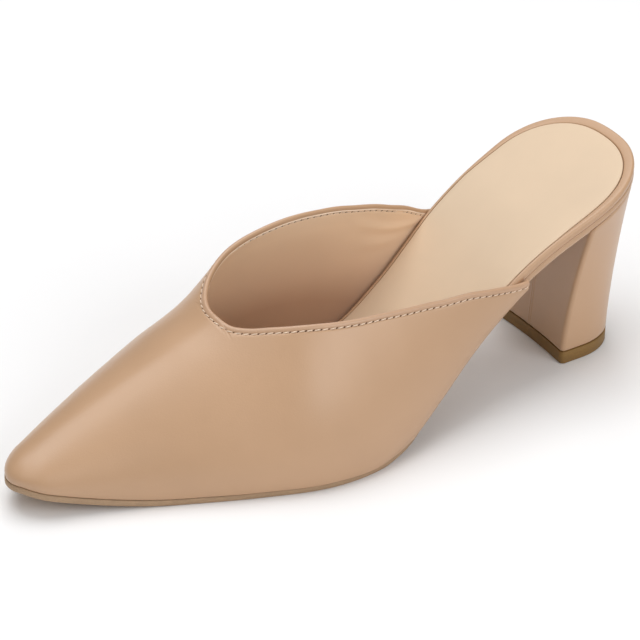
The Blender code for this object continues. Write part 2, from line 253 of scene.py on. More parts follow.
def rounding(x):
    """Narrowing of the plan at the rounded back and at the toe tip."""
    back = np.clip((SEAT_ROUND - x) / SEAT_ROUND, 0, 1)
    toe = np.clip((x - LENGTH + TOE_ROUND) / TOE_ROUND, 0, 1)
    return (1 - back ** CORNER_POWER) ** (1 / CORNER_POWER) * np.sqrt(1 - toe ** 2)


def plan(x):
    """Reach of the footbed to the outer and the inner side of the heel's axis."""
    share = x / LENGTH
    width = column(PLAN, PLAN_COLUMNS, "width")
    at = column(PLAN, PLAN_COLUMNS, "station")
    outer = smooth(at, width * column(PLAN, PLAN_COLUMNS, "outer"), share)
    inner = smooth(at, width * column(PLAN, PLAN_COLUMNS, "inner"), share)
    middle = (outer - inner) / 2
    half = (outer + inner) / 2 * rounding(x)
    return middle + half, middle - half


def plan_sides(x, offset):
    """Both sides of the plan at the stations x, moved outward by the offset."""
    sides = []
    for side in (0, 1):
        y = plan(x)[side]
        line = np.stack([x, y], axis=1)
        along = np.gradient(line, axis=0)
        if x[-1] >= LENGTH:
            along[-1] = (0, -1 if side == 0 else 1)
        if x[0] <= 0:
            along[0] = (0, 1 if side == 0 else -1)
        along /= np.linalg.norm(along, axis=1)[:, None]
        turn = 1 if side == 0 else -1
        normal = np.stack([-along[:, 1], along[:, 0]], axis=1) * turn
        sides.append((line + normal * np.reshape(offset, (-1, 1)), normal))
    return sides


def end_stations(start, length, count):
    """Stations that close up towards a rounded end, from the straight part outward."""
    return [start + length * math.sin(a) for a in np.linspace(0, math.pi / 2, count + 1)[1:]]


def body_stations(start, count=150):
    back = []
    if start <= 0:
        back = [SEAT_ROUND - v for v in end_stations(0, SEAT_ROUND, 28)][::-1]
        start = SEAT_ROUND
    middle = np.linspace(start, LENGTH - TOE_ROUND, count)
    return np.array(back + list(middle) + end_stations(LENGTH - TOE_ROUND, TOE_ROUND, 14))


def make_piece(name, points, faces, materials, slots=None, marks=None, sharp=40):
    """Mesh in the shoe's place, riding on it. marks are named numbers for each point."""
    points = np.array(points, dtype=float)
    points[:, 0] -= STAND
    mesh = bpy.data.meshes.new(name)
    mesh.from_pydata(points.tolist(), [], faces)
    for material in materials:
        mesh.materials.append(material)
    if slots is not None:
        mesh.polygons.foreach_set("material_index", np.array(slots, dtype=np.int32))
    for label, values in (marks or {}).items():
        made = mesh.attributes.new(label, "FLOAT", "POINT")
        made.data.foreach_set("value", np.array(values, dtype=np.float32))
    mesh.update()
    mesh.shade_smooth()
    mesh.set_sharp_from_angle(angle=math.radians(sharp))
    piece = bpy.data.objects.new(name, mesh)
    bpy.context.collection.objects.link(piece)
    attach(piece, "root")
    return piece


def strip_solid(rings, front=1):
    """Closed body from rings of equal length, closed at both ends by strips across it."""
    count = len(rings[0])
    half = count // 2
    points = np.concatenate(rings)
    faces = []
    for k in range(len(rings) - 1):
        for i in range(count):
            j = (i + 1) % count
            faces.append((k * count + i, k * count + j, (k + 1) * count + j, (k + 1) * count + i))
    for k, flip in ((0, True), (len(rings) - 1, False)):
        closing = [[(n - front) % count for n in range(2 * front + 1)]]
        closing += [[i, i + 1, count - i - 1, count - i] for i in range(front, half - 1)]
        closing.append([half - 1, half, half + 1])
        for face in closing:
            face = [k * count + v for v in face]
            faces.append(tuple(face[::-1] if flip else face))
    return points, faces


def ring(x, offset, height):
    """Loop around the footbed's plan: inner side from the back to the toe, then the outer side."""
    (outer, _), (inner, _) = plan_sides(x, offset)
    outer[0, 1] = inner[0, 1] = (outer[0, 1] + inner[0, 1]) / 2
    outer[-1, 1] = inner[-1, 1] = (outer[-1, 1] + inner[-1, 1]) / 2
    loop = np.concatenate([inner, outer[-2:0:-1]])
    return np.column_stack([loop, height(loop[:, 0])])


def rim_width(x):
    t = np.clip(1 - x / (1.5 * SEAT_ROUND), 0, 1)
    return RIM_WAIST + (RIM_BACK - RIM_WAIST) * t ** RIM_POWER


# Colours of the finishes
LEATHER = (0.530, 0.326, 0.190)
FOLD_LEATHER = (0.515, 0.318, 0.195)
LINING = (0.880, 0.650, 0.450)
# Colour the lining turns to deep inside the upper: painted shade of the hollow
DEEP_LINING_PAINTED_SHADE = (0.470, 0.290, 0.190)
RAW_EDGE = (0.900, 0.730, 0.570)
SOCK = (0.710, 0.545, 0.385)
SOLE = (0.400, 0.265, 0.160)
# Paler edge of the sole in the waist: painted highlight of that lit edge
SOLE_WAIST_HIGHLIGHT = (0.620, 0.440, 0.290)
LIFT = (0.235, 0.130, 0.036)
THREAD = (0.840, 0.660, 0.500)
# Painted shade inside the needle holes
HOLE_SHADE = (0.085, 0.038, 0.018)
FLOOR = (0.92, 0.92, 0.925)


def effect(name, inputs, outputs):
    """Empty node group with named inputs (name, default) and outputs (name, kind)."""
    group = bpy.data.node_groups.new(name, "ShaderNodeTree")
    for label, value in inputs:
        kind = "NodeSocketColor" if isinstance(value, tuple) else "NodeSocketFloat"
        made = group.interface.new_socket(name=label, in_out="INPUT", socket_type=kind)
        made.default_value = (*value, 1) if isinstance(value, tuple) else value
    for label, kind in outputs:
        group.interface.new_socket(name=label, in_out="OUTPUT", socket_type=kind)
    return group, group.nodes.new("NodeGroupInput"), group.nodes.new("NodeGroupOutput")


def math_node(tree, operation, *values, clamp=False):
    node = tree.nodes.new("ShaderNodeMath")
    node.operation = operation
    node.use_clamp = clamp
    for place, value in enumerate(values):
        if isinstance(value, (int, float)):
            node.inputs[place].default_value = value
        else:
            tree.links.new(value, node.inputs[place])
    return node.outputs[0]


def mix_colour(tree, share, first, second):
    node = tree.nodes.new("ShaderNodeMix")
    node.data_type = "RGBA"
    for place, value in ((0, share), (6, first), (7, second)):
        if isinstance(value, tuple):
            node.inputs[place].default_value = (*value[:3], 1)
        elif isinstance(value, (int, float)):
            node.inputs[place].default_value = value
        else:
            tree.links.new(value, node.inputs[place])
    return node.outputs[2]


def noise(tree, place, scale, detail=3.0, roughness=0.5):
    node = tree.nodes.new("ShaderNodeTexNoise")
    node.inputs["Detail"].default_value = detail
    node.inputs["Roughness"].default_value = roughness
    tree.links.new(place, node.inputs["Vector"])
    if isinstance(scale, (int, float)):
        node.inputs["Scale"].default_value = scale
    else:
        tree.links.new(scale, node.inputs["Scale"])
    return node.outputs["Fac"]


def leather_grain_group():
    """Grain of a finished leather: Height for a bump, Clouds for a soft mottle of tone and gloss."""
    group, given, put = effect(
        "leather grain",
        [("Grain Scale", 900.0), ("Pore Share", 0.3), ("Cloud Scale", 22.0)],
        [("Height", "NodeSocketFloat"), ("Clouds", "NodeSocketFloat")],
    )
    place = group.nodes.new("ShaderNodeTexCoord").outputs["Object"]
    cells = group.nodes.new("ShaderNodeTexVoronoi")
    cells.feature = "DISTANCE_TO_EDGE"
    cells.inputs["Randomness"].default_value = 1.0
    warp = group.nodes.new("ShaderNodeTexNoise")
    warp.inputs["Scale"].default_value = 160
    group.links.new(place, warp.inputs["Vector"])
    shift = group.nodes.new("ShaderNodeVectorMath")
    shift.operation = "MULTIPLY_ADD"
    shift.inputs[1].default_value = (0.0011, 0.0011, 0.0011)
    group.links.new(warp.outputs["Color"], shift.inputs[0])
    group.links.new(place, shift.inputs[2])
    group.links.new(shift.outputs[0], cells.inputs["Vector"])
    group.links.new(given.outputs["Grain Scale"], cells.inputs["Scale"])
    tops = math_node(group, "POWER", cells.outputs["Distance"], 0.35)
    fine = noise(group, place, 2600.0, 2.0)
    soft = math_node(group, "MULTIPLY", fine, 0.35)
    pores = math_node(group, "MULTIPLY", tops, given.outputs["Pore Share"])
    group.links.new(math_node(group, "ADD", pores, soft), put.inputs["Height"])
    group.links.new(noise(group, place, given.outputs["Cloud Scale"], 3.0, 0.55), put.inputs["Clouds"])
    return group


def use_group(tree, group, **values):
    node = tree.nodes.new("ShaderNodeGroup")
    node.node_tree = group
    for label, value in values.items():
        node.inputs[label.replace("_", " ")].default_value = value
    return node


def new_material(name):
    material = bpy.data.materials.new(name)
    material.use_nodes = True
    tree = material.node_tree
    return material, tree, tree.nodes["Principled BSDF"]


def add_bump(tree, shader, height, depth, strength=1.0):
    bump = tree.nodes.new("ShaderNodeBump")
    bump.inputs["Strength"].default_value = strength
    bump.inputs["Distance"].default_value = depth
    tree.links.new(height, bump.inputs["Height"])
    tree.links.new(bump.outputs[0], shader.inputs["Normal"])


def spread(tree, value, low, high, to_low, to_high):
    node = tree.nodes.new("ShaderNodeMapRange")
    node.clamp = True
    for label, number in (("From Min", low), ("From Max", high), ("To Min", to_low), ("To Max", to_high)):
        node.inputs[label].default_value = number
    tree.links.new(value, node.inputs["Value"])
    return node.outputs["Result"]


def colour_times(colour, factor):
    return tuple(c * factor for c in colour)


def leather_material(name, colour, grain, gloss=(0.35, 0.44), coat=0.34, depth=0.00009, folded=False):
    """Satin leather. On the upper the band above the stitches is a fold, a little darker and rosier."""
    material, tree, shader = new_material(name)
    skin = use_group(tree, grain)
    clouds = skin.outputs["Clouds"]
    mottle = spread(tree, clouds, 0.3, 0.7, 0, 1)
    tone = mix_colour(tree, mottle, colour_times(colour, 0.955), colour_times(colour, 1.04))
    if folded:
        down = tree.nodes.new("ShaderNodeAttribute")
        down.attribute_name = "from_edge_mm"
        seam = SEAM_DEPTH * 1000
        on_fold = spread(tree, down.outputs["Fac"], seam - 0.3, seam, 1, 0)
        tone = mix_colour(tree, on_fold, tone, FOLD_LEATHER)
    tree.links.new(tone, shader.inputs["Base Color"])
    tree.links.new(spread(tree, clouds, 0.3, 0.7, gloss[0], gloss[1]), shader.inputs["Roughness"])
    shader.inputs["Specular IOR Level"].default_value = 0.45
    shader.inputs["Coat Weight"].default_value = coat
    shader.inputs["Coat Roughness"].default_value = 0.36
    add_bump(tree, shader, skin.outputs["Height"], depth, 0.7)
    return material


def lining_material(grain):
    """Inside of the upper: folded leather at the top, the lining's pale raw edge, then the lining,
    darkened deeper down by painted shade.
    """
    material, tree, shader = new_material("upper lining")
    skin = use_group(tree, grain, Grain_Scale=1300.0, Pore_Share=0.15)
    clouds = skin.outputs["Clouds"]
    down = tree.nodes.new("ShaderNodeAttribute")
    down.attribute_name = "from_edge_mm"
    fold = FOLD_DEPTH * 1000
    mottle = spread(tree, clouds, 0.3, 0.7, 0, 1)
    lining = mix_colour(tree, mottle, colour_times(LINING, 0.96), colour_times(LINING, 1.03))
    # Painted shade: the lining darkens deeper down from the top line
    painted_shade = spread(tree, down.outputs["Fac"], LINING_PAINTED_SHADE_SPAN[0], LINING_PAINTED_SHADE_SPAN[1], 0, 1)
    lining = mix_colour(tree, painted_shade, lining, DEEP_LINING_PAINTED_SHADE)
    raw_end = fold + RAW_EDGE_WIDTH * 1000
    past_fold = spread(tree, down.outputs["Fac"], fold - 0.05, fold + 0.05, 0, 1)
    past_edge = spread(tree, down.outputs["Fac"], raw_end, raw_end + 0.1, 0, 1)
    edge_or_lining = mix_colour(tree, past_edge, RAW_EDGE, lining)
    tone = mix_colour(tree, past_fold, colour_times(LEATHER, 0.92), edge_or_lining)
    tree.links.new(tone, shader.inputs["Base Color"])
    tree.links.new(spread(tree, clouds, 0.3, 0.7, 0.50, 0.62), shader.inputs["Roughness"])
    shader.inputs["Specular IOR Level"].default_value = 0.35
    add_bump(tree, shader, skin.outputs["Height"], 0.00006, 0.5)
    return material


def sock_material(grain):
    material, tree, shader = new_material("sock leather")
    skin = use_group(tree, grain, Grain_Scale=1100.0, Pore_Share=0.2, Cloud_Scale=30.0)
    clouds = skin.outputs["Clouds"]
    mottle = spread(tree, clouds, 0.3, 0.7, 0, 1)
    tone = mix_colour(tree, mottle, colour_times(SOCK, 0.965), colour_times(SOCK, 1.03))
    tree.links.new(tone, shader.inputs["Base Color"])
    tree.links.new(spread(tree, clouds, 0.3, 0.7, 0.52, 0.64), shader.inputs["Roughness"])
    shader.inputs["Specular IOR Level"].default_value = 0.35
    add_bump(tree, shader, skin.outputs["Height"], 0.00006, 0.5)
    return material


def rubber_material(name, colour, streaks=0.10, roughness=0.55):
    """Moulded sole or lift: fine speckle and shallow scuffs that run along the shoe."""
    material, tree, shader = new_material(name)
    place = tree.nodes.new("ShaderNodeTexCoord").outputs["Object"]
    stretch = tree.nodes.new("ShaderNodeMapping")
    stretch.inputs["Scale"].default_value = (0.12, 1.0, 1.0)
    tree.links.new(place, stretch.inputs["Vector"])
    scuffs = noise(tree, stretch.outputs["Vector"], 420.0, 4.0, 0.6)
    speckle = noise(tree, place, 1500.0, 2.0)
    scuffs = math_node(tree, "MULTIPLY", scuffs, 0.6)
    speckle = math_node(tree, "MULTIPLY", speckle, 0.4)
    both = math_node(tree, "ADD", scuffs, speckle)
    mottle = spread(tree, both, 0.35, 0.65, 0, 1)
    tone = mix_colour(tree, mottle, colour_times(colour, 1 - streaks), colour_times(colour, 1 + streaks))
    tree.links.new(tone, shader.inputs["Base Color"])
    tree.links.new(spread(tree, both, 0.35, 0.65, roughness, roughness + 0.12), shader.inputs["Roughness"])
    shader.inputs["Specular IOR Level"].default_value = 0.4
    add_bump(tree, shader, both, 0.00008, 0.5)
    return material


def thread_material():
    """Twisted sewing thread: fine slanted ribs."""
    material, tree, shader = new_material("sewing thread")
    place = tree.nodes.new("ShaderNodeTexCoord").outputs["Object"]
    ribs = tree.nodes.new("ShaderNodeTexWave")
    ribs.wave_type = "BANDS"
    ribs.bands_direction = "DIAGONAL"
    ribs.inputs["Scale"].default_value = 900
    ribs.inputs["Distortion"].default_value = 0.6
    tree.links.new(place, ribs.inputs["Vector"])
    tone = mix_colour(tree, ribs.outputs["Fac"], colour_times(THREAD, 0.80), colour_times(THREAD, 1.05))
    tree.links.new(tone, shader.inputs["Base Color"])
    shader.inputs["Roughness"].default_value = 0.6
    add_bump(tree, shader, ribs.outputs["Fac"], 0.00005, 0.7)
    return material


# Needle holes: dark colour that paints the shade inside each hole
def hole_shade_material():
    material, tree, shader = new_material("needle hole shade")
    place = tree.nodes.new("ShaderNodeTexCoord").outputs["Object"]
    tone = mix_colour(tree, noise(tree, place, 900.0), colour_times(HOLE_SHADE, 0.7), colour_times(HOLE_SHADE, 1.3))
    tree.links.new(tone, shader.inputs["Base Color"])
    shader.inputs["Roughness"].default_value = 0.8
    shader.inputs["Specular IOR Level"].default_value = 0.2
    return material


# Upper
def ridge(x):
    share = x / LENGTH
    height = INSTEP_HEIGHT * read(RIDGE, RIDGE_COLUMNS, "height", share)
    drift = BALL_WIDTH * read(RIDGE, RIDGE_COLUMNS, "drift", share)
    return np.stack([x, drift, height], axis=1)


def upper_section(x, side, share):
    """Points of the outer face: from its foot beside the footbed (share 0) to its ridge (share 1)."""
    foot_plan, normal = plan_sides(x, GAP + UPPER_WALL)[side]
    foot = np.column_stack([foot_plan, underside(foot_plan[:, 0])])
    nose = np.clip(1 - (LENGTH - x) / (4 * NOSE_BACK), 0, 1)
    top = ridge(x - NOSE_BACK * nose ** 2)
    ahead, behind = ridge(top[:, 0] + SLOPE_STEP), ridge(top[:, 0] - SLOPE_STEP)
    fall = (ahead[:, 2] - behind[:, 2]) / (2 * SLOPE_STEP)
    label = ("outer", "inner")[side]
    station = x / LENGTH
    swell = BALL_WIDTH * read(SIDES, SIDES_COLUMNS, "swell_" + label, station)
    pull = read(SIDES, SIDES_COLUMNS, "pull_" + label, station)
    crown = read(SIDES, SIDES_COLUMNS, "crown_" + label, station)
    low = foot + np.column_stack([normal * swell[:, None], (top[:, 2] - foot[:, 2]) * pull])
    out = (foot - top) * crown[:, None]
    out[:, 2] = out[:, 0] * fall
    high = top + out
    t = np.reshape(share, (-1, 1))
    return (1 - t) ** 3 * foot + 3 * t * (1 - t) ** 2 * low + 3 * t * t * (1 - t) * high + t ** 3 * top


# Rows near the top line, as distances from it, and the count of even rows below them
EDGE_ROWS = (0.0, 0.00008, 0.0002, 0.0004, 0.00065, 0.0009, 0.0012, 0.0014, 0.0016, 0.0018, 0.0020,
             0.0022, 0.0024, 0.0026, 0.0028, 0.0031, 0.0035, 0.0041, 0.0050)
LOWER_ROWS = 30
WING_STATIONS = 100
VAMP_STATIONS = 100


def upper_grid():
    """Stations, and for each side the rows of points from the foot up to the top line or the ridge."""
    throat, wing = THROAT * LENGTH, WING_START * LENGTH
    wings = [throat - (throat - wing) * r * r for r in np.linspace(1, 0, WING_STATIONS)]
    near = [throat + v for v in EDGE_ROWS[1:]]
    vamp = list(np.linspace(near[-1], LENGTH - TOE_ROUND, VAMP_STATIONS)[1:])
    x = np.array(wings + near + vamp + end_stations(LENGTH - TOE_ROUND, TOE_ROUND, 16))
    back = np.sqrt(np.clip((throat - x) / (throat - wing), 0, 1))
    grids, ways = [], []
    for side, label in ((0, "outer"), (1, "inner")):
        top_share = 1 - read(TOPLINE, TOPLINE_COLUMNS, label, back, key="back")
        samples = np.linspace(0, 1, 81)
        line = np.stack([upper_section(x, side, top_share * v) for v in samples])
        steps = np.linalg.norm(np.diff(line, axis=0), axis=2)
        along = np.vstack([np.zeros(len(x)), np.cumsum(steps, axis=0)])
        total = along[-1]
        rows = []
        squeeze = np.minimum(1, total / (3 * EDGE_ROWS[-1]))
        for n in range(LOWER_ROWS):
            rows.append((total - EDGE_ROWS[-1] * squeeze) * n / LOWER_ROWS)
        for depth in EDGE_ROWS[::-1]:
            rows.append(total - depth * squeeze)
        shares = np.array([
            [np.interp(rows[r][i], along[:, i], samples) for i in range(len(x))] for r in range(len(rows))
        ])
        grids.append(np.stack([upper_section(x, side, top_share * s) for s in shares]))
        ways.append(np.stack([top_share * s for s in shares]))
    return x, len(wings) - 1, grids, ways


def point_normals(points, faces):
    normals = np.zeros_like(points)
    first, last = points[faces[:, 2]] - points[faces[:, 0]], points[faces[:, 3]] - points[faces[:, 1]]
    turn = np.cross(first, last)
    for corner in range(4):
        np.add.at(normals, faces[:, corner], turn)
    length = np.linalg.norm(normals, axis=1)
    return normals / np.maximum(length, 1e-12)[:, None]


def distance_to_line(points, line):
    """Distance of each point to a chain of close points, a block of points at a time."""
    found = np.empty(len(points))
    start, step = line[:-1], np.diff(line, axis=0)
    size = np.maximum((step ** 2).sum(axis=1), 1e-18)
    for at in range(0, len(points), 2000):
        block = points[at:at + 2000]
        way = np.clip(((block[:, None] - start) * step).sum(axis=2) / size, 0, 1)
        gap = block[:, None] - start - step * way[..., None]
        found[at:at + 2000] = np.sqrt((gap ** 2).sum(axis=2).min(axis=1))
    return found


def crease_depth(stations, ways, side_of, face):
    """Soft troughs pressed into one face of the upper."""
    pressed = np.zeros(len(stations))
    for side, on, x0, up0, x1, up1, reach, depth in CREASES:
        if on != face:
            continue
        scale = np.array([LENGTH, INSTEP_HEIGHT])
        a, b = np.array([x0, up0]) * scale, np.array([x1, up1]) * scale
        here = np.column_stack([stations * LENGTH, ways * INSTEP_HEIGHT])
        along = np.clip(((here - a) @ (b - a)) / ((b - a) @ (b - a)), 0, 1)
        gap = np.linalg.norm(here - a - along[:, None] * (b - a), axis=1)
        fade = np.sin(math.pi * np.clip(along, 0.02, 0.98)) ** 0.5
        mine = side_of == ("outer", "inner").index(side)
        trough = np.exp(-(gap / reach) ** 2) - 0.55 * np.exp(-((gap - 1.6 * reach) / reach) ** 2)
        pressed += np.where(mine, depth * fade * trough, 0)
    return pressed


def upper_faces():
    """Outer face of the upper: its points and faces, its top line, and where each point lies."""
    x, throat_index, grids, ways = upper_grid()
    rows = len(grids[0])
    last = len(x) - 1
    number = np.zeros((2, rows, len(x)), dtype=int)
    points, stations, up, side_of = [], [], [], []
    for side in (0, 1):
        for j in range(rows):
            for i in range(len(x)):
                if side == 1 and (i == last or (j == rows - 1 and i >= throat_index)):
                    number[1, j, i] = number[0, j, i]
                    continue
                number[side, j, i] = len(points)
                points.append(grids[side][j, i])
                stations.append(x[i] / LENGTH)
                up.append(ways[side][j, i])
                side_of.append(side)
    faces = []
    for side in (0, 1):
        a, b = number[side, :-1, :-1], number[side, :-1, 1:]
        c, d = number[side, 1:, 1:], number[side, 1:, :-1]
        four = np.stack([a, b, c, d], axis=-1).reshape(-1, 4)
        faces.append(four[:, ::-1] if side == 0 else four)
    outer_line = grids[0][-1, :throat_index + 1]
    inner_line = grids[1][-1, :throat_index + 1]
    line = np.concatenate([outer_line, inner_line[-2::-1]])
    return (np.array(points), np.concatenate(faces), line,
            np.array(stations), np.array(up), np.array(side_of), number, throat_index)


def edge_shape(depth, wall, seam_depth):
    """Pull of a face towards the wall's middle near the top line: rounded edge, puffed fold, groove."""
    half = wall / 2
    near = np.clip(depth, 0, half)
    rounded = half - np.sqrt(np.maximum(half ** 2 - (half - near) ** 2, 0))
    groove = SEAM_GROOVE * np.exp(-((depth - seam_depth) / SEAM_WIDTH) ** 2)
    puff = FOLD_PUFF * np.exp(-((depth - 0.5 * seam_depth) / (0.35 * seam_depth)) ** 2)
    return rounded + groove - puff


def make_upper(leather, lining):
    points, faces, line, stations, up, side_of, number, throat_index = upper_faces()
    normals = point_normals(points, faces)
    depth = distance_to_line(points, line)
    foot = number[:, 0, :].reshape(-1)
    level = normals.copy()
    level[foot, 2] = 0
    level[foot] /= np.linalg.norm(level[foot], axis=1)[:, None]
    outside = points - normals * (edge_shape(depth, UPPER_WALL, SEAM_DEPTH)
                                  + crease_depth(stations, up, side_of, "leather"))[:, None]
    outside[foot] = points[foot]
    step = LINING_THICKNESS * np.clip((depth - FOLD_DEPTH) / LINING_STEP, 0, 1)
    inside_pull = edge_shape(depth, UPPER_WALL, LINING_SEAM_DEPTH) - step
    inside_pull -= crease_depth(stations, up, side_of, "lining")
    inside = points - level * (UPPER_WALL - inside_pull)[:, None]
    inside[foot] = points[foot] - level[foot] * UPPER_WALL
    inside[foot, 2] = underside(inside[foot, 0])
    count = len(points)
    every = faces.tolist()
    inner = (faces[:, ::-1] + count).tolist()
    edges = set()
    for face in every:
        for a, b in zip(face, face[1:] + face[:1]):
            if a != b:
                edges.add((a, b))
    rim = [(b, a, a + count, b + count) for a, b in sorted(edges) if (b, a) not in edges]
    every = [tuple(dict.fromkeys(face)) for face in every]
    inner = [tuple(dict.fromkeys(face)) for face in inner]
    slots = [0] * len(every) + [1] * len(inner) + [0] * len(rim)
    keep = [len(face) > 2 for face in every + inner] + [True] * len(rim)
    allfaces = [face for face, kept in zip(every + inner + rim, keep) if kept]
    slots = [slot for slot, kept in zip(slots, keep) if kept]
    marks = {"from_edge_mm": np.concatenate([depth, depth]) * 1000}
    piece = make_piece("upper_leather", np.concatenate([outside, inside]), allfaces, [leather, lining],
                       slots, marks, sharp=60)
    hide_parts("upper")
    return outside, inside, normals, line


def even_points(line, pitch):
    """Points and directions at even steps along a line."""
    steps = np.linalg.norm(np.diff(line, axis=0), axis=1)
    along = np.concatenate([[0], np.cumsum(steps)])
    count = int(along[-1] / pitch)
    at = (np.arange(count) + 0.5) * along[-1] / count
    place = np.column_stack([np.interp(at, along, line[:, k]) for k in range(3)])
    ahead = np.column_stack([np.interp(at + pitch / 4, along, line[:, k]) for k in range(3)])
    behind = np.column_stack([np.interp(at - pitch / 4, along, line[:, k]) for k in range(3)])
    way = ahead - behind
    return place, way / np.linalg.norm(way, axis=1)[:, None]


def on_face(wanted, face_points, normals):
    """Nearest spot of a densely meshed face to each wanted place, with its normal."""
    spots, ups = [], []
    for place in wanted:
        n = int(((face_points - place) ** 2).sum(axis=1).argmin())
        up = normals[n]
        spots.append(place - up * ((place - face_points[n]) @ up))
        ups.append(up)
    return np.array(spots), np.array(ups)


def capsule(centre, along, up, length, radius, flat=0.75, rings=7, sides=8):
    """Small stitch: a rounded bar that lies on the leather, arched a little."""
    across = np.cross(up, along)
    points, faces = [], []
    for k in range(rings):
        share = k / (rings - 1)
        swell = math.sqrt(max(1 - (2 * share - 1) ** 4, 0.02))
        arch = radius * 0.7 * (1 - (2 * share - 1) ** 2)
        middle = centre + along * (share - 0.5) * length + up * arch
        for s in range(sides):
            a = 2 * math.pi * s / sides
            points.append(middle + (across * math.cos(a) + up * math.sin(a) * flat) * radius * swell)
    for k in range(rings - 1):
        for s in range(sides):
            t = (s + 1) % sides
            faces.append((k * sides + s, k * sides + t, (k + 1) * sides + t, (k + 1) * sides + s))
    faces.append(tuple(range(sides))[::-1])
    faces.append(tuple(range((rings - 1) * sides, rings * sides)))
    return points, faces


def joined(parts):
    points, faces = [], []
    for more_points, more_faces in parts:
        start = len(points)
        points.extend(more_points)
        faces.extend(tuple(start + v for v in face) for face in more_faces)
    return points, faces


def make_seam(name, line, depth, face_points, normals, thread, hole_shade):
    """One row of stitches along the top line on one face, with a dark mark of painted shade for the needle
    hole between two stitches.
    """
    place, along = even_points(line, STITCH_PITCH)
    _, up = on_face(place, face_points, normals)
    down = np.cross(up, along)
    down *= np.where(down[:, 2:3] > 0, -1, 1)
    near_throat = np.abs(place[:, 0] - THROAT * LENGTH) < THROAT_ROUND
    down[near_throat] *= np.where(down[near_throat, 0:1] < 0, -1, 1)
    spots, ups = on_face(place + down * depth, face_points, normals)
    stitches, holes = [], []
    for n in range(len(spots)):
        way = along[n] - ups[n] * (along[n] @ ups[n])
        way /= np.linalg.norm(way)
        slant = np.cross(ups[n], way)
        lie = way * math.cos(STITCH_SLANT) + slant * math.sin(STITCH_SLANT)
        raised = spots[n] + ups[n] * THREAD_RAISED
        stitches.append(capsule(raised, lie, ups[n], STITCH_LENGTH, THREAD_RADIUS))
        if n + 1 < len(spots):
            between = (spots[n] + spots[n + 1]) / 2 - ups[n] * HOLE_SUNK
            slit = way * math.cos(HOLE_SLANT) + slant * math.sin(HOLE_SLANT)
            holes.append(capsule(between, slit, ups[n], HOLE_LENGTH, HOLE_RADIUS, 0.5))
    points, faces = joined(stitches)
    make_piece(name + "_stitches", points, faces, [thread], sharp=80)
    points, faces = joined(holes)
    make_piece(name + "_needle_hole_shade", points, faces, [hole_shade], sharp=80)


# Footbed, sock and sole
ROLL = 0.0013            # radius of the roll around the sock
CREASE_DOWN = 0.52       # crease between the roll and the band under it, as a share of the thickness
# Band from below: inset and share of the thickness. Crease: inset and share above its middle
BAND_ROWS = ((0.0008, 0), (0.0003, 0.03), (0.00005, 0.10), (0, 0.25))
CREASE_ROWS = ((0.00004, -0.07), (0.00022, -0.02), (0.00040, 0), (0.00026, 0.02), (0.00006, 0.07))
RIM_FLAT_ENDS = 0.0004   # flat top of the rim ends this far before its inner edge
RIM_INNER_ROWS = ((0.00012, 0.00006), (0, 0.00025), (0, SOCK_RECESS))  # before that edge, and down
SOCK_EDGE = 0.0005       # radius of the sock's cut edge
SOCK_PADDING = ((0.003, 0.00012), (0.008, 0.0002))  # distance in from that edge, and rise


def make_footbed(leather):
    x = body_stations(0)

    def level(share):
        return lambda at: underside(at) + (footbed_top(at) - underside(at)) * share

    def sunk(down):
        return lambda at: footbed_top(at) - down * slope_factor(at)

    roll = ROLL / FOOTBED_THICKNESS
    rings = [ring(x, -inset, level(share)) for inset, share in BAND_ROWS]
    rings += [ring(x, -inset, level(1 - CREASE_DOWN + above)) for inset, above in CREASE_ROWS]
    for turn in np.radians(np.linspace(0, 90, 9)):
        rings.append(ring(x, -ROLL * (1 - math.cos(turn)), level(1 - roll + roll * math.sin(turn))))
    rim = rim_width(x)
    rings.append(ring(x, -np.maximum(rim - RIM_FLAT_ENDS, ROLL), level(1)))
    rings += [ring(x, -(rim - before), sunk(down)) for before, down in RIM_INNER_ROWS]
    points, faces = strip_solid(rings)
    piece = make_piece("footbed_wrap", points, faces, [leather], sharp=50)
    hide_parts("footbed")


def make_sock(cream):
    x = body_stations(0)
    inset = -(rim_width(x) + GAP)

    def level(height):
        return lambda at: footbed_top(at) + (height - SOCK_RECESS) * slope_factor(at)

    rings = [ring(x, inset, level(GAP)), ring(x, inset, level(SOCK_THICKNESS - SOCK_EDGE))]
    for turn in np.radians((22.5, 45, 67.5, 90)):
        height = SOCK_THICKNESS - SOCK_EDGE + SOCK_EDGE * math.sin(turn)
        rings.append(ring(x, inset - SOCK_EDGE * (1 - math.cos(turn)), level(height)))
    rings += [ring(x, inset - reach, level(SOCK_THICKNESS + rise)) for reach, rise in SOCK_PADDING]
    points, faces = strip_solid(rings)
    piece = make_piece("sock_sheet", points, faces, [cream], sharp=50)
    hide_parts("sock")


def sole_margin(x):
    under_upper = ease(x, SOLE_WIDENS, -EDGE_ROUND, UPPER_WALL - GAP)
    return under_upper + ease(x, SOLE_STANDS_OUT, 0, 2 * GAP + SOLE_PROUD)


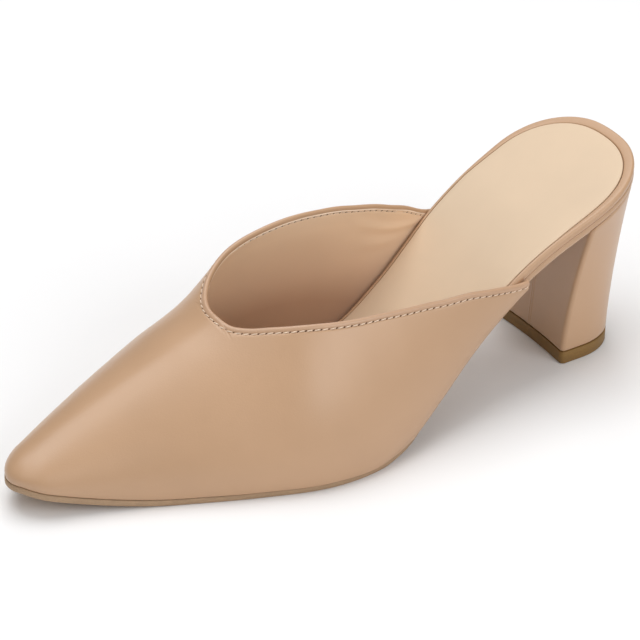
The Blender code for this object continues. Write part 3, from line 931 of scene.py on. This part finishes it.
def make_outsole(rubber, pale):
    x = body_stations(BREAST + GAP)
    margin = sole_margin(x)

    def top(at):
        return underside(at) - GAP

    def bottom(at):
        thickness = ease(at, SOLE_THICKENS, SOLE_WAIST, SOLE_FOREPART)
        return np.maximum(top(at) - thickness * slope_factor(at), 0)

    def level(share):
        return lambda at: bottom(at) + (top(at) - bottom(at)) * share

    r = SOLE_EDGE_ROUND
    share = r / SOLE_FOREPART
    edge = [
        (margin - 0.006, 0.0),
        (margin - r, 0.0),
        (margin - 0.4 * r, 0.3 * share),
        (margin, share),
        (margin, 0.5),
        (margin, 1 - share),
        (margin - 0.3 * r, 1 - 0.4 * share),
        (margin - r, 1),
    ]
    rings = []
    for offset, part in edge:
        (outer, _), (inner, _) = plan_sides(x, offset)
        outer[0, 0] = inner[0, 0] = x[0]
        outer[-1, 1] = inner[-1, 1] = (outer[-1, 1] + inner[-1, 1]) / 2
        back = np.array([[x[0], (outer[0, 1] + inner[0, 1]) / 2]])
        loop = np.concatenate([back, inner, outer[-2::-1]])
        rings.append(np.column_stack([loop, level(part)(loop[:, 0])]))
    points, faces = strip_solid(rings, front=2)
    middle_x = np.array([np.mean([points[v][0] for v in face]) for face in faces])
    around = len(rings[0]) * (len(rings) - 1)
    number = np.arange(len(faces))
    on_edge = (number < around) & (number >= len(rings[0]))
    # The sole's edge in the waist gets the pale material, a painted highlight
    slots = np.where(on_edge & (middle_x < SOLE_THICKENS[0] * LENGTH), 1, 0)
    piece = make_piece("sole", points, faces, [rubber, pale], slots, sharp=50)
    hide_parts("outsole")


# Heel and lift
def heel_ring(share, inset=0.0, fine=3):
    """D shaped loop around the heel block, from the middle of its breast around the outer side."""
    front = LIFT_FRONT + (BREAST - LIFT_FRONT) * share
    back = LIFT_BACK + (GAP - LIFT_BACK) * share ** HEEL_RAKE
    half = (LIFT_WIDTH + (SEAT_WIDTH - LIFT_WIDTH) * share ** HEEL_FLARE) / 2
    bend = LIFT_ROUND + (SEAT_ROUND - GAP - LIFT_ROUND) * share
    side = []
    for y in np.linspace(0, 1, 8 * fine)[:-1]:
        side.append((front - BREAST_HOLLOW * (1 - y * y), y * (half - HEEL_CORNER)))
    for a in np.linspace(0, math.pi / 2, 4 * fine):
        side.append((front - HEEL_CORNER * (1 - math.cos(a)), half - HEEL_CORNER * (1 - math.sin(a))))
    widest = back + bend
    straight_end = max(widest - front + HEEL_CORNER, 0) / bend
    start = math.asin(straight_end ** (CORNER_POWER / 2))
    for a in np.linspace(start, math.pi / 2, 12 * fine)[1:]:
        reach = math.sin(a) ** (2 / CORNER_POWER)
        side.append((widest - bend * reach, half * max(math.cos(a), 0) ** (2 / CORNER_POWER)))
    side = np.array(side)
    side[-1, 1] = 0
    loop = np.concatenate([side, side[-2:0:-1] * (1, -1)])
    if inset:
        along = np.roll(loop, -1, axis=0) - np.roll(loop, 1, axis=0)
        along /= np.linalg.norm(along, axis=1)[:, None]
        loop = loop + np.column_stack([-along[:, 1], along[:, 0]]) * inset
    return loop


def breast_front(fine=3):
    return 8 * fine + 4 * fine - 2


# Rounded ends of the heel cover: share of its height and inset
HEEL_FOOT_ROWS = ((0, 0.0006), (0.004, 0.00025), (0.010, 0))
HEEL_TOP_ROWS = ((0.990, 0.00005), (1.0, 0.0004))


def make_heel(leather):
    low = LIFT_THICKNESS + GAP
    levels = list(HEEL_FOOT_ROWS)
    levels += [(v, 0) for v in np.linspace(0.03, 0.97, 40)]
    levels += list(HEEL_TOP_ROWS)
    top = heel_ring(1.0)
    rise = underside(top[:, 0]) - GAP - low
    rings = [np.column_stack([heel_ring(v, inset), low + rise * v]) for v, inset in levels]
    points, faces = strip_solid(rings, front=breast_front())
    piece = make_piece("heel_cover", points, faces, [leather], sharp=50)
    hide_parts("heel")


LIP_HEIGHT = 0.00018     # lips of the seam down the heel's breast
LIP_SUNK = 0.00004
LIP_SPACING = 0.00050
LIP_HALF_WIDTH = 0.00046


def make_heel_seam(leather):
    """Butt seam of the heel cover: two lips side by side down the middle of the breast."""
    low = LIFT_THICKNESS + 2 * GAP
    parts = []
    for sign in (-1, 1):
        rows = []
        for share in np.linspace(0.004, 0.995, 40):
            front = LIFT_FRONT + (BREAST - LIFT_FRONT) * share - BREAST_HOLLOW
            rise = underside(np.array([front]))[0] - GAP - low
            z = low + rise * share
            row = []
            for a in np.linspace(0, math.pi, 7):
                lip = front + LIP_HEIGHT * math.sin(a) - LIP_SUNK
                row.append((lip, sign * LIP_SPACING + LIP_HALF_WIDTH * math.cos(a), z))
            rows.append(row)
        points = [p for row in rows for p in row]
        faces = [(k * 7 + s, k * 7 + s + 1, (k + 1) * 7 + s + 1, (k + 1) * 7 + s)
                 for k in range(len(rows) - 1) for s in range(6)]
        parts.append((points, faces))
    points, faces = joined(parts)
    make_piece("heel_breast_seam", points, faces, [leather], sharp=80)


def make_top_lift(brown):
    base = heel_ring(0.0)
    heights = [(0, 0.0005), (0.0002, 0.00015), (0.0005, 0), (LIFT_THICKNESS - 0.0003, 0),
               (LIFT_THICKNESS - 0.0001, 0.0001), (LIFT_THICKNESS, 0.0003)]
    rings = [np.column_stack([heel_ring(0.0, inset), np.full(len(base), z)]) for z, inset in heights]
    points, faces = strip_solid(rings, front=breast_front())
    piece = make_piece("lift", points, faces, [brown], sharp=50)
    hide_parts("top_lift")


# Camera, floor and lights
CAMERA_FOCUS = 3510 / 640        # focal length over the picture's width
CAMERA_SIDE = math.radians(33.58)
CAMERA_HEIGHT = math.radians(32.12)
CAMERA_ROLL = math.radians(0.70)
CAMERA_AWAY = 1.2294
CAMERA_TARGET = (0.1248 - STAND, -0.0017, 0.0367)
SKY_STRENGTH = 0.24
FLOOR_REACH = 6
# Softboxes: name, place, what it aims at, size, watts
LIGHTS = (
    ("far_side_softbox", (-0.45, -1.00, 0.85), (0.10, 0.0, 0.03), (0.6, 0.5), 1.5),
    ("overhead_softbox", (0.12, -0.30, 1.30), (0.10, 0.0, 0.0), (1.2, 1.0), 13),
    ("toe_side_softbox", (0.85, 0.30, 1.05), (0.10, 0.0, 0.03), (0.8, 0.8), 2.3),
    ("near_side_softbox", (-0.20, 1.30, 0.80), (0.10, 0.0, 0.03), (1.2, 0.8), 9.6),
)


def make_camera():
    data = bpy.data.cameras.new("photo_camera")
    data.sensor_width = 36
    data.lens = CAMERA_FOCUS * data.sensor_width
    camera = bpy.data.objects.new("photo_camera", data)
    bpy.context.collection.objects.link(camera)
    level = math.cos(CAMERA_HEIGHT)
    back = Vector((math.sin(CAMERA_SIDE) * level, math.cos(CAMERA_SIDE) * level, math.sin(CAMERA_HEIGHT)))
    right = (-back).cross(Vector((0, 0, 1))).normalized()
    up = right.cross(-back)
    c, s = math.cos(CAMERA_ROLL), math.sin(CAMERA_ROLL)
    turned_right = right * c + up * s
    turned_up = up * c - right * s
    turn = Matrix((turned_right, turned_up, back)).transposed().to_4x4()
    camera.matrix_world = Matrix.Translation(Vector(CAMERA_TARGET) + back * CAMERA_AWAY) @ turn
    data.clip_start, data.clip_end = 0.05, 20
    bpy.context.scene.camera = camera


def make_floor():
    material, tree, shader = new_material("studio floor")
    shader.inputs["Base Color"].default_value = (*FLOOR, 1)
    shader.inputs["Roughness"].default_value = 0.9
    shader.inputs["Specular IOR Level"].default_value = 0.1
    mesh = bpy.data.meshes.new("studio_floor")
    corners = [(x * FLOOR_REACH, y * FLOOR_REACH, 0) for x, y in ((-1, -1), (1, -1), (1, 1), (-1, 1))]
    mesh.from_pydata(corners, [], [(0, 1, 2, 3)])
    mesh.materials.append(material)
    floor = bpy.data.objects.new("studio_floor", mesh)
    bpy.context.collection.objects.link(floor)


def make_light(name, place, aim, size, watts):
    data = bpy.data.lights.new(name, "AREA")
    data.shape = "RECTANGLE"
    data.size, data.size_y = size
    data.energy = watts
    lamp = bpy.data.objects.new(name, data)
    lamp.location = place
    lamp.rotation_mode = "QUATERNION"
    lamp.rotation_quaternion = (Vector(aim) - Vector(place)).to_track_quat("-Z", "Y")
    bpy.context.collection.objects.link(lamp)


def make_studio():
    make_floor()
    for name, place, aim, size, watts in LIGHTS:
        make_light(name, place, aim, size, watts)
    world = bpy.data.worlds.new("studio_white")
    world.use_nodes = True
    sky = world.node_tree.nodes["Background"]
    sky.inputs["Color"].default_value = (1, 1, 1, 1)
    sky.inputs["Strength"].default_value = SKY_STRENGTH
    scene = bpy.context.scene
    scene.world = world
    scene.view_settings.view_transform = "Standard"
    scene.view_settings.exposure = 0.0


def main():
    make_camera()
    grain = leather_grain_group()
    leather = leather_material("tan satin leather", LEATHER, grain, folded=True)
    wrap = leather_material("tan footbed wrap", LEATHER, grain, gloss=(0.38, 0.48))
    cover = leather_material("tan heel cover", LEATHER, grain, gloss=(0.34, 0.44), coat=0.30)
    thread, hole_shade = thread_material(), hole_shade_material()
    outside, inside, normals, line = make_upper(leather, lining_material(grain))
    make_seam("outside", line, SEAM_DEPTH, outside, normals, thread, hole_shade)
    make_seam("inside", line, LINING_SEAM_DEPTH, inside, -normals, thread, hole_shade)
    make_footbed(wrap)
    make_sock(sock_material(grain))
    # Painted highlight along the sole's edge in the waist
    sole_waist_highlight = rubber_material("sole waist painted highlight", SOLE_WAIST_HIGHLIGHT, 0.05, 0.5)
    make_outsole(rubber_material("brown sole", SOLE), sole_waist_highlight)
    make_heel(cover)
    make_heel_seam(cover)
    make_top_lift(rubber_material("brown lift", LIFT, 0.14, 0.50))
    make_studio()


main()
